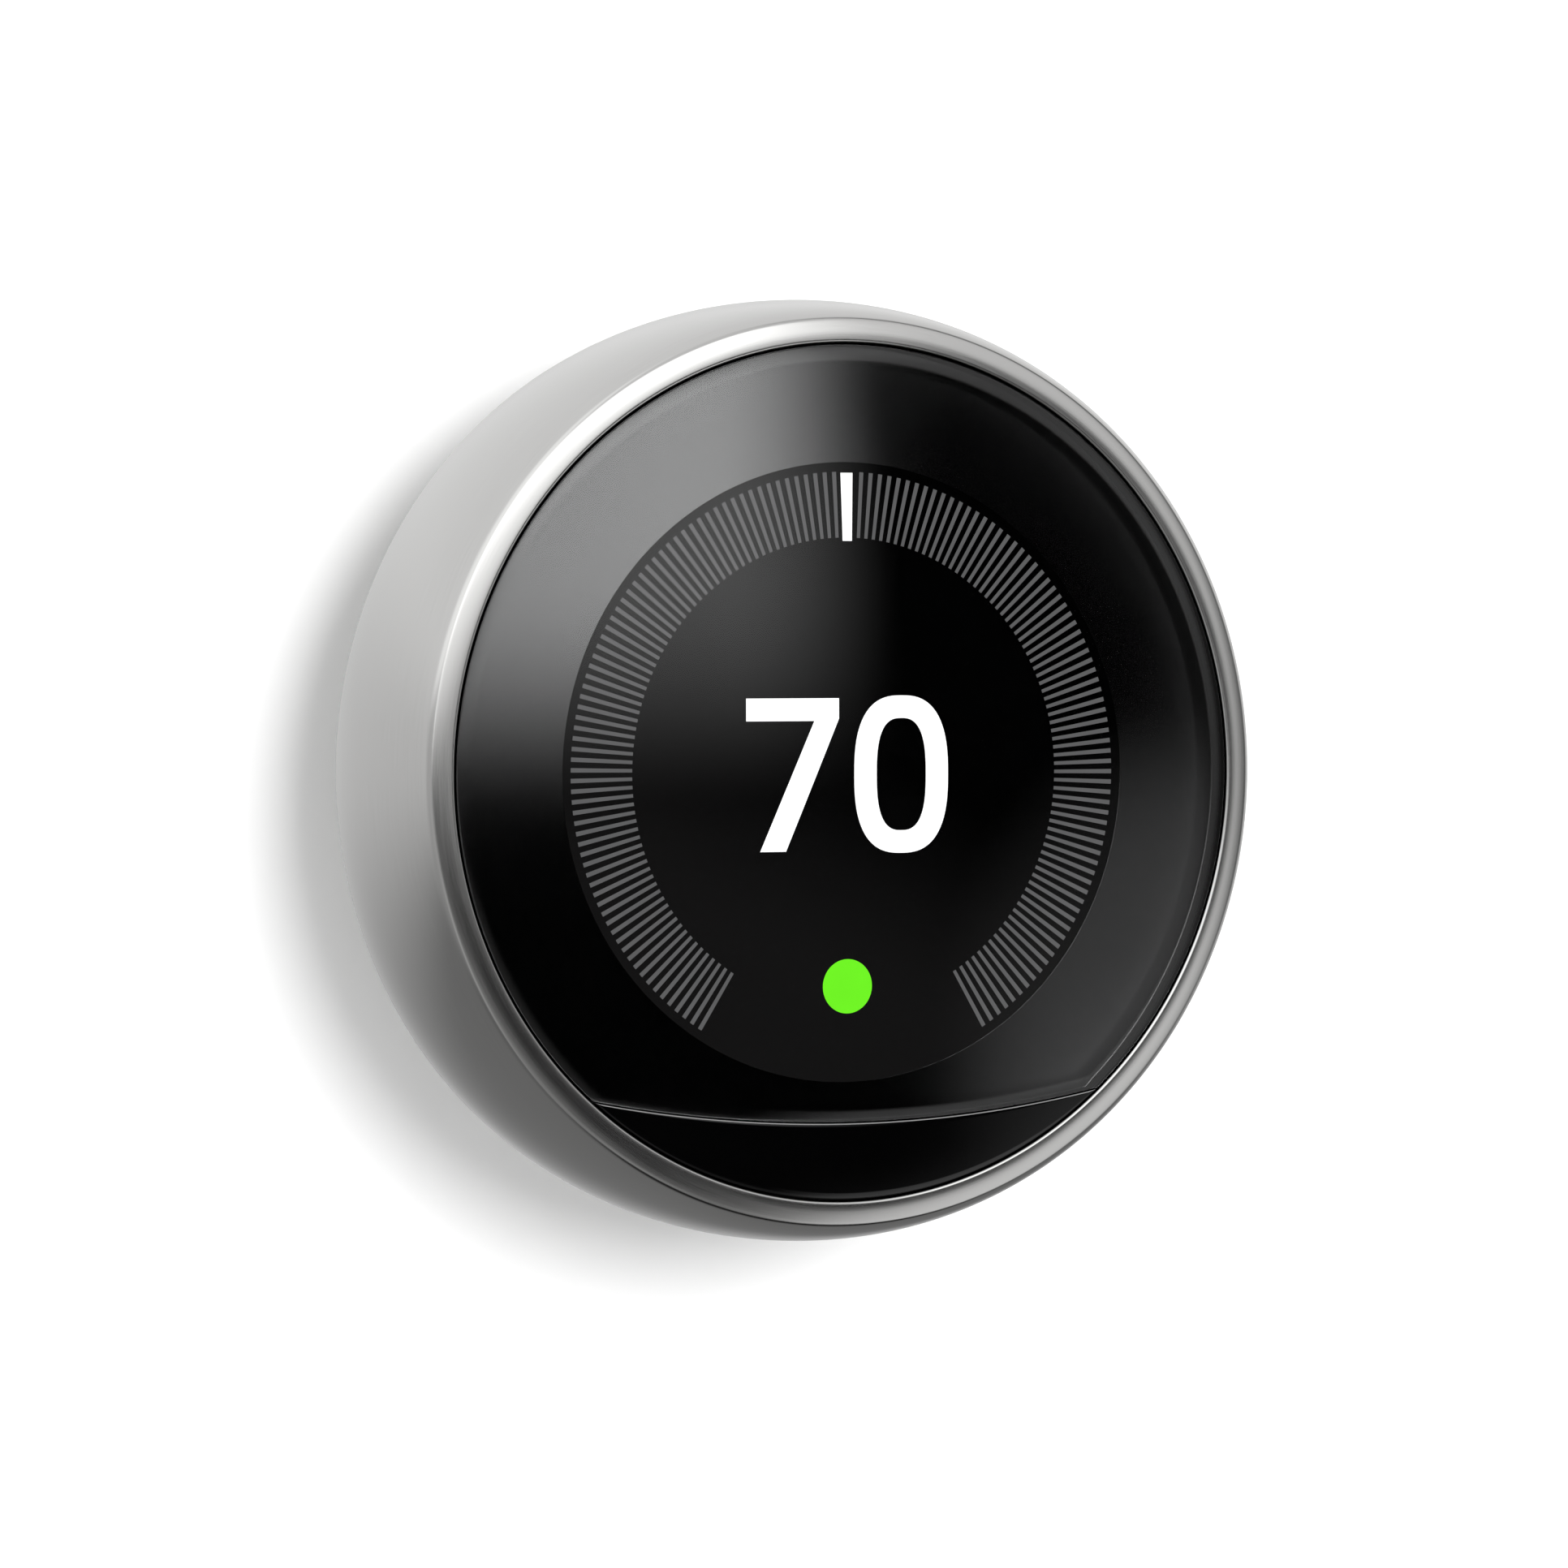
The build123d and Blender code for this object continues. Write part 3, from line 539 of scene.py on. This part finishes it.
def arc_reach(turn, arc_radius):
    """How far from the axis, at an angle, the long arc under the display lies."""
    centre = WINDOW_ARC_RADIUS - WINDOW_ARC_LOW
    across, up = math.cos(turn), math.sin(turn)
    return up * centre + math.sqrt(arc_radius**2 - (centre * across) ** 2)


def meeting_turn(arc_radius):
    """The angle, from +X towards +Z, at which the arc meets the rim on the right."""
    low, high = math.radians(-89), 0.0
    for _ in range(60):
        middle = (low + high) / 2
        if arc_reach(middle, arc_radius) < LENS_RADIUS:
            low = middle
        else:
            high = middle
    return high


def rim_and_arc(rim_radius):
    """Turns round the glass with their reach: along the rim, then back along the arc."""
    corner = meeting_turn(WINDOW_ARC_RADIUS)
    rim = [corner + (math.pi - 2 * corner) * i / RIM_STEPS for i in range(RIM_STEPS + 1)]
    arc = [math.pi - corner + (math.pi + 2 * corner) * i / ARC_STEPS for i in range(1, ARC_STEPS)]
    return ([(turn, rim_radius, False) for turn in rim]
            + [(turn, arc_reach(turn, WINDOW_ARC_RADIUS), True) for turn in arc])


def lens_mesh():
    """The domed glass down to the arc, with broken edges."""
    shares = [i / 26 for i in range(1, 27)]
    bm = bmesh.new()
    tip = bm.verts.new((0, DOME_FRONT, 0))
    columns = []
    for turn, reach, on_arc in rim_and_arc(LENS_RADIUS):
        edge = SEAM_ROUND if on_arc else LENS_ROUND
        column = []
        for share in shares:
            r = (reach - edge) * share
            column.append((r, dome_y(r)))
        top = dome_y(reach)
        column += [(reach - edge * (1 - math.sin(b)), top + edge * (1 - math.cos(b)))
                   for b in (math.radians(22), math.radians(45), math.radians(68), math.radians(90))]
        column += [(reach, LENS_BACK - 0.05 * MM), (reach - 0.05 * MM, LENS_BACK)]
        columns.append([bm.verts.new((r * math.cos(turn), y, r * math.sin(turn))) for r, y in column])
    back = bm.verts.new((0, LENS_BACK, 0))
    for i, column in enumerate(columns):
        after = columns[(i + 1) % len(columns)]
        bm.faces.new((tip, column[0], after[0]))
        for a in range(len(column) - 1):
            face = bm.faces.new((column[a], column[a + 1], after[a + 1], after[a]))
            face.material_index = EDGE_PAINT if a >= len(column) - 3 else CLEAR_GLASS
        bm.faces.new((column[-1], back, after[-1])).material_index = BONDED_BACK
    return tidy_mesh(bm, "front_lens", 40)


def window_mesh():
    """The lower piece of the dome, between the arc's seam and the rim."""
    arc = WINDOW_ARC_RADIUS + WINDOW_SEAM
    corner = meeting_turn(arc)
    steps = 160
    shares = [i / 14 for i in range(15)]
    bm = bmesh.new()
    columns = []
    for i in range(steps + 1):
        turn = corner - (math.pi + 2 * corner) * i / steps
        inner = min(arc_reach(turn, arc), LENS_RADIUS - 0.02 * MM)
        span = LENS_RADIUS - inner
        seam_edge, rim_edge = min(WINDOW_EDGE, span * 0.3), min(LENS_ROUND, span * 0.3)
        column = [(inner, WINDOW_BACK), (inner, dome_y(inner) + seam_edge),
                  (inner + seam_edge * 0.3, dome_y(inner) + seam_edge * 0.3)]
        for share in shares:
            r = inner + seam_edge + (span - seam_edge - rim_edge) * share
            column.append((r, dome_y(r)))
        top = dome_y(LENS_RADIUS)
        column += [(LENS_RADIUS - rim_edge * (1 - math.sin(b)), top + rim_edge * (1 - math.cos(b)))
                   for b in (math.radians(30), math.radians(60), math.radians(90))]
        column += [(LENS_RADIUS, WINDOW_BACK)]
        columns.append([bm.verts.new((r * math.cos(turn), y, r * math.sin(turn))) for r, y in column])
    for column, after in zip(columns, columns[1:]):
        for a in range(len(column)):
            b = (a + 1) % len(column)
            face = bm.faces.new((column[a], column[b], after[b], after[a]))
            # The two seam faces take a lighter grey: a painted highlight that draws the thin bright seam
            # line.
            face.material_index = SEAM_PAINTED_HIGHLIGHT if a in (1, 2) else SHELL
    for column in (columns[0], columns[-1]):
        bm.faces.new(column)
    return tidy_mesh(bm, "sensor_window_shell", 40)


def mask_mesh():
    """The printed rim, a film just behind the lens, from the display's hole out to the arc and rim."""
    front, back = LENS_BACK + FILM_CLEARANCE, WINDOW_BACK - FILM_CLEARANCE
    bm = bmesh.new()
    columns = []
    for turn, reach, _ in rim_and_arc(LENS_RADIUS - 0.1 * MM):
        column = [(VIEW_HOLE_RADIUS, front), (reach, front), (reach, back), (VIEW_HOLE_RADIUS, back)]
        columns.append([bm.verts.new((r * math.cos(turn), y, r * math.sin(turn))) for r, y in column])
    for i, column in enumerate(columns):
        after = columns[(i + 1) % len(columns)]
        for a in range(4):
            b = (a + 1) % 4
            bm.faces.new((column[a], column[b], after[b], after[a]))
    return tidy_mesh(bm, "printed_rim")


def coil_springs_mesh(coil, wire, turns):
    """The three press springs, each a helix of round wire about its guide post."""
    low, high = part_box("press_springs")
    circle = high.z - coil - wire
    start, end = high.y - wire, low.y + wire
    steps, sides = 30 * turns, 10
    slope = math.atan2(end - start, 2 * math.pi * coil * turns)
    bm = bmesh.new()
    for post in (90, 210, 330):
        x, z = circle * math.cos(math.radians(post)), circle * math.sin(math.radians(post))
        rows = []
        for step in range(steps + 1):
            turn = 2 * math.pi * turns * step / steps
            out = Vector((math.cos(turn), 0, math.sin(turn)))
            along = Vector((-math.sin(turn) * math.cos(slope), math.sin(slope),
                            math.cos(turn) * math.cos(slope)))
            side = along.cross(out)
            middle = Vector((x, start + (end - start) * step / steps, z)) + out * coil
            rows.append([bm.verts.new(middle + (out * math.cos(a) + side * math.sin(a)) * wire)
                         for a in (2 * math.pi * i / sides for i in range(sides))])
        for row, after in zip(rows, rows[1:]):
            for i in range(sides):
                j = (i + 1) % sides
                bm.faces.new((row[i], row[j], after[j], after[i]))
        bm.faces.new(rows[0])
        bm.faces.new(rows[-1])
    return tidy_mesh(bm, "press_spring_coils", 50)


springs = new_piece("press_spring_coils", coil_springs_mesh(COIL_RADIUS, COIL_WIRE, COIL_TURNS),
                    FINISHES["spring"], "head", ["press_springs"])
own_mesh(springs)
new_piece("turning_ring", turned_mesh("turning_ring", ring_outline()), turned_steel(), "ring",
          ["control_ring"])
ink = printed_black()
lens = new_piece("front_lens", lens_mesh(), lens_glass(), "front", ["glass_lens"])
lens.data.materials.append(edge_black())
lens.data.materials.append(tinted_clear("optical_bonding", (0.99, 0.99, 0.99, 1), -0.02, 1.0))
shell = new_piece("sensor_window_shell", window_mesh(), window_plastic(), "front",
                  ["sensor_window"])
# Lighter grey on the cut edge along the seam: a painted highlight line, not the plastic's own colour.
shell.data.materials.append(moulded("window_cut_edge", (0.2, 0.2, 0.2), 0.45, 0.004))
new_piece("printed_rim", mask_mesh(), ink, "front", ["black_mask"])

# ================= Picture on the display =================
PICTURE_BACK = DISPLAY_FRONT - 0.01 * MM
PICTURE_DEPTH = 0.02 * MM
FIGURE_HEIGHT = 13.45 * MM
FIGURE_MIDDLE = -0.2 * MM


def plate_mesh(name, outline, hole=None):
    """A thin flat plate on the display, from an outline of (x, z) points, with or without a hole."""
    bm = bmesh.new()
    loops = []
    for y in (PICTURE_BACK - PICTURE_DEPTH, PICTURE_BACK):
        outer = [bm.verts.new((x, y, z)) for x, z in outline]
        inner = [bm.verts.new((x, y, z)) for x, z in hole] if hole else []
        loops.append((outer, inner))
        if hole:
            for i in range(len(outer)):
                j = (i + 1) % len(outer)
                bm.faces.new((outer[i], outer[j], inner[j], inner[i]))
        else:
            bm.faces.new(outer)
    for front, back in zip(*loops):
        for i in range(len(front)):
            j = (i + 1) % len(front)
            bm.faces.new((front[i], front[j], back[j], back[i]))
    return tidy_mesh(bm, name)


def oval(centre, half_width, half_height, squareness, steps=96):
    """Points of a squared oval about a centre."""
    points = []
    for i in range(steps):
        turn = 2 * math.pi * i / steps
        across, up = math.cos(turn), math.sin(turn)
        points.append((centre[0] + half_width * math.copysign(abs(across) ** (2 / squareness), across),
                       centre[1] + half_height * math.copysign(abs(up) ** (2 / squareness), up)))
    return points


def seven_outline(left, top):
    """The figure 7: a bar and a straight slanted leg."""
    width, bar = 9.0 * MM, 2.0 * MM
    leg, foot = 2.5 * MM, 1.35 * MM
    bottom = top - FIGURE_HEIGHT
    return [(left, top), (left + width, top), (left + width, top - bar * 0.9),
            (left + foot + leg, bottom), (left + foot, bottom),
            (left + width - leg + 0.1 * MM, top - bar), (left, top - bar)]


white = lit("display_white", (1.0, 1.0, 1.0), 1.35, 0.01)
new_piece("figure_seven", plate_mesh("figure_seven", seven_outline(
    -9.75 * MM, FIGURE_MIDDLE + FIGURE_HEIGHT / 2)), white, "front")
zero_centre = (5.36 * MM, FIGURE_MIDDLE)
new_piece("figure_zero", plate_mesh("figure_zero", oval(zero_centre, 4.62 * MM, 6.95 * MM, 2.6),
          oval(zero_centre, 2.42 * MM, 4.95 * MM, 2.7)), white, "front")
new_piece("status_dot", plate_mesh("status_dot", oval((0.15 * MM, -18.85 * MM), 2.4 * MM, 2.4 * MM, 2.0)),
          lit("display_green", (0.18, 1.0, 0.022), 1.0, 0.05), "front")
new_piece("set_marker", plate_mesh("set_marker", [(-0.45 * MM, 26.35 * MM), (0.72 * MM, 26.35 * MM),
          (0.6 * MM, 20.35 * MM), (-0.3 * MM, 20.35 * MM)]), white, "front")


class Maker(Sheet):
    """A Geometry Nodes tree with named sizes."""

    def __init__(self, name):
        super().__init__(bpy.data.node_groups.new(name, "GeometryNodeTree"))
        self.tree.interface.new_socket("Geometry", in_out="OUTPUT", socket_type="NodeSocketGeometry")
        self.entry = None

    def size(self, name, kind="NodeSocketFloat"):
        self.tree.interface.new_socket(name, in_out="INPUT", socket_type=kind)
        if self.entry is None:
            self.entry = self.tree.nodes.new("NodeGroupInput")
        return Wire(self.tree, self.entry.outputs[name])

    def close(self, geometry, material):
        real = self.node("GeometryNodeRealizeInstances", None, {"Geometry": geometry})
        painted = self.node("GeometryNodeSetMaterial", None, {"Geometry": real, "Material": material})
        end = self.tree.nodes.new("NodeGroupOutput")
        self.tree.links.new(painted.socket, end.inputs["Geometry"])

    def grown(self, name, sizes):
        """Runs the tree with its sizes and gives back the plain mesh."""
        holder = bpy.data.objects.new(name + "_maker", bpy.data.meshes.new(name + "_maker"))
        bpy.context.scene.collection.objects.link(holder)
        modifier = holder.modifiers.new("make", "NODES")
        modifier.node_group = self.tree
        for item in self.tree.interface.items_tree:
            if item.item_type == "SOCKET" and item.in_out == "INPUT":
                modifier[item.identifier] = sizes[item.name]
        ready = holder.evaluated_get(bpy.context.evaluated_depsgraph_get())
        mesh = bpy.data.meshes.new_from_object(ready)
        holder.modifiers.remove(modifier)
        bpy.data.objects.remove(holder)
        mesh.name = name
        return mesh


def tick_marks(material):
    """Radial marks, the same number each side of the marker, each as wide as its share of the circle."""
    m = Maker("tick_marks")
    side = m.size("Marks Each Side", "NodeSocketInt")
    first, pitch, width = m.size("First Angle"), m.size("Pitch"), m.size("Mark Angle")
    lean = m.size("Lean")
    inner, outer = m.size("Inner Radius"), m.size("Outer Radius")
    back, thick = m.size("Back"), m.size("Thickness")
    bar = m.node("GeometryNodeMeshCube", None, {
        "Size": m.vector(1.0, thick, outer - inner), "Vertices X": 2, "Vertices Y": 2, "Vertices Z": 3})
    moved = m.node("GeometryNodeTransform", None, {
        "Geometry": bar, "Translation": m.vector(0.0, back - thick * 0.5, (outer + inner) * 0.5)})
    x, y, z = m.split(m.node("GeometryNodeInputPosition"))
    tapered = m.node("GeometryNodeSetPosition", None, {
        "Geometry": moved, "Position": m.vector(x * z * width, y, z)})
    index = m.node("GeometryNodeInputIndex")
    left = m.node("ShaderNodeMath", {"operation": "GREATER_THAN"}, {0: index, 1: side - 0.5})
    turn = (first + pitch * (index - side * left)) * (1 - 2 * left)
    spots = m.node("GeometryNodePoints", None, {"Count": side * 2})
    marks = m.node("GeometryNodeInstanceOnPoints", None, {
        "Points": spots, "Instance": tapered, "Rotation": m.vector(0.0, turn + lean, 0.0)})
    m.close(marks, material)
    return m.grown("tick_marks", {
        "Marks Each Side": 73, "First Angle": math.radians(2.9), "Pitch": math.radians(2.019),
        "Lean": math.radians(0.55), "Mark Angle": math.radians(0.85),
        "Inner Radius": 20.65 * MM, "Outer Radius": 26.45 * MM,
        "Back": PICTURE_BACK, "Thickness": PICTURE_DEPTH})


tick_finish = lit("display_tick_grey", (0.125, 0.125, 0.127), 1.0, 0.12)
ticks = bpy.data.objects.new("tick_marks", tick_marks(tick_finish))
bpy.context.scene.collection.objects.link(ticks)
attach(ticks, "front")


# ================= Wall, floor, light and camera =================
def flat_stage(name, corners, material):
    mesh = bpy.data.meshes.new(name)
    mesh.from_pydata(corners, [], [tuple(range(len(corners)))])
    mesh.materials.append(material)
    stage = bpy.data.objects.new(name, mesh)
    bpy.context.scene.collection.objects.link(stage)
    stage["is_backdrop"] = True
    return stage


def wall_paint():
    """White wall paint, seen only from the room's side."""
    f = Finish("white_wall", Roughness=0.9, Specular_IOR_Level=0.1)
    drift = f.noise(9.0, detail=3.0)
    f.feed(Base_Color=f.mix(drift, grey(0.93), grey(0.95)))
    clear = f.node("ShaderNodeBsdfTransparent")
    behind = f.node("ShaderNodeNewGeometry", output=6)
    both = f.node("ShaderNodeMixShader", None, {0: behind, 1: Wire(f.tree, f.surface.outputs[0]), 2: clear})
    f.tree.links.new(both.socket, f.out.inputs["Surface"])
    return f.material


WALL_HALF = 1.6
WALL_FACE = 0.3 * MM
FLOOR_DROP = 0.8
FLOOR_HALF = 9.0
wall = flat_stage("wall", [(-WALL_HALF, WALL_FACE, -FLOOR_DROP), (WALL_HALF, WALL_FACE, -FLOOR_DROP),
                           (WALL_HALF, WALL_FACE, WALL_HALF), (-WALL_HALF, WALL_FACE, WALL_HALF)],
                  wall_paint())
floor_finish = Finish("pale_floor", Roughness=0.8)
floor_finish.feed(Base_Color=floor_finish.mix(floor_finish.noise(6.0), grey(0.80), grey(0.84)))
floor = flat_stage("floor", [(x * FLOOR_HALF, y * FLOOR_HALF, -FLOOR_DROP)
                             for x, y in ((-1, -1), (1, -1), (1, 1), (-1, 1))], floor_finish.material)


def aim(azimuth, elevation):
    """The direction from the object towards an azimuth and elevation in degrees, front first."""
    a, e = math.radians(azimuth), math.radians(elevation)
    return Vector((math.sin(a) * math.cos(e), -math.cos(a) * math.cos(e), math.sin(e)))


SOFTBOX_STRENGTH = 1.7
DARKEST_STRENGTH = 0.001
BACKDROP_STRENGTH = 0.95
SCATTERED_CUT = 0.5


def studio_light():
    """An even pale surround with soft-edged lamps and a dark flag in front."""
    world = bpy.data.worlds.new("studio")
    world.use_nodes = True
    s = Sheet(world.node_tree)
    s.tree.nodes.clear()
    direction = s.node("ShaderNodeTexCoord", output=0)

    def spot(azimuth, elevation, full, edge):
        """1 within an angle of a direction, fading to 0 at a wider one."""
        close = s.node("ShaderNodeVectorMath", {"operation": "DOT_PRODUCT"},
                       {0: direction, 1: aim(azimuth, elevation)}, output=1)
        return s.step(close, math.cos(math.radians(edge)), math.cos(math.radians(full)))

    x, y, z = s.split(direction)
    in_front = s.step(y, 0.0, -0.3)
    sideways = x / s.node("ShaderNodeMath", {"operation": "MAXIMUM"}, {0: 0 - y, 1: 0.05})
    level = z / (x * x + y * y).root()
    softbox = (in_front * s.step(sideways, 0.53, 0.39) * s.step(sideways, -0.9, -0.3)
               * s.step(level, -0.04, 0.095) * s.step(level, 1.3, 0.6)
               * s.step(sideways, 0.16, 0.40, 0.80, 1.0))
    mirrored = spot(26, -1, 12, 17)
    right_or_high = 1 - s.step(sideways, 0.55, 0.42) * s.step(level, 0.30, 0.14)
    panels = (in_front * (1 - mirrored) * right_or_high * s.step(level, -1.2, -0.7)
              * s.step(level, 0.0, 0.16, 0.62, 0.86) * s.step(sideways, 1.0, 1.5, 1.0, 0.22))
    left_fill = in_front * s.step(sideways, -0.1, -0.9) * s.step(level, -0.9, 0.1, 0.17, 0.58)
    rear_fill = (1 - in_front) * (s.step(level, -0.6, 0.05, 0.22, 0.78)
                                  + s.step(level, 0.05, 0.4, 0.0, 0.22))
    small_panel = spot(38, -8, 3, 9) * 0.2
    low_fill = spot(48, -24, 6, 22) * 0.36 + spot(-15, -30, 16, 28) * 0.26 + spot(20, -42, 6, 20) * 0.2
    strength = (softbox * SOFTBOX_STRENGTH + panels + left_fill + small_panel + low_fill + rear_fill
                + DARKEST_STRENGTH)
    seen = s.node("ShaderNodeLightPath", output=0)
    scattered = s.node("ShaderNodeLightPath", output=2)
    total = strength * (1 - seen) * (1 - scattered * SCATTERED_CUT) + seen * BACKDROP_STRENGTH
    back = s.node("ShaderNodeBackground", None, {"Color": grey(1.0), "Strength": total})
    end = s.tree.nodes.new("ShaderNodeOutputWorld")
    s.tree.links.new(back.socket, end.inputs[0])
    bpy.context.scene.world = world


def rear_light():
    """A broad soft light behind the wall, for the back of the object alone."""
    data = bpy.data.lights.new("rear_softbox", "AREA")
    data.shape = "RECTANGLE"
    data.size, data.size_y = 1.2, 1.2
    data.energy = 7.0
    light = bpy.data.objects.new("rear_softbox", data)
    light.location = (0.35, 0.9, 0.45)
    light.rotation_mode = "QUATERNION"
    light.rotation_quaternion = (-light.location).to_track_quat("-Z", "Y")
    bpy.context.scene.collection.objects.link(light)
    blockers = bpy.data.collections.new("rear_light_blockers")
    lit_pieces = bpy.data.collections.new("rear_light_pieces")
    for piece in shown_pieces():
        blockers.objects.link(piece)
        if piece.name != "turning_ring":
            lit_pieces.objects.link(piece)
    light.light_linking.receiver_collection = lit_pieces
    light.light_linking.blocker_collection = blockers


def front_light():
    """A broad lamp almost straight ahead, which lights the wall and is not mirrored in the glass."""
    data = bpy.data.lights.new("front_softbox", "SUN")
    data.angle = math.radians(36)
    data.energy = 2.9
    light = bpy.data.objects.new("front_softbox", data)
    towards = aim(9, 14)
    light.location = towards
    light.rotation_mode = "QUATERNION"
    light.rotation_quaternion = (-towards).to_track_quat("-Z", "Y")
    light.visible_glossy = light.visible_transmission = False
    bpy.context.scene.collection.objects.link(light)


studio_light()
front_light()
rear_light()
wall.visible_glossy = floor.visible_glossy = floor.visible_transmission = False

CAMERA_AZIMUTH, CAMERA_ELEVATION = -26.1, 1.1
CAMERA_DISTANCE = 0.740
VIEW_WIDTH_AT_TARGET = 138.3 * MM
target = Vector((0, RING_FRONT, 0))
camera_data = bpy.data.cameras.new("camera")
camera_data.sensor_width = 36.0
camera_data.lens = 36.0 * CAMERA_DISTANCE / VIEW_WIDTH_AT_TARGET
camera_data.shift_x, camera_data.shift_y = -0.0419, -0.0074
camera_data.clip_start, camera_data.clip_end = 0.05, 20.0
camera = bpy.data.objects.new("camera", camera_data)
towards_camera = aim(CAMERA_AZIMUTH, CAMERA_ELEVATION)
camera.location = target + towards_camera * CAMERA_DISTANCE
camera.rotation_mode = "QUATERNION"
camera.rotation_quaternion = (-towards_camera).to_track_quat("-Z", "Y")
bpy.context.scene.collection.objects.link(camera)
bpy.context.scene.camera = camera
bpy.context.scene.view_settings.view_transform = "Standard"
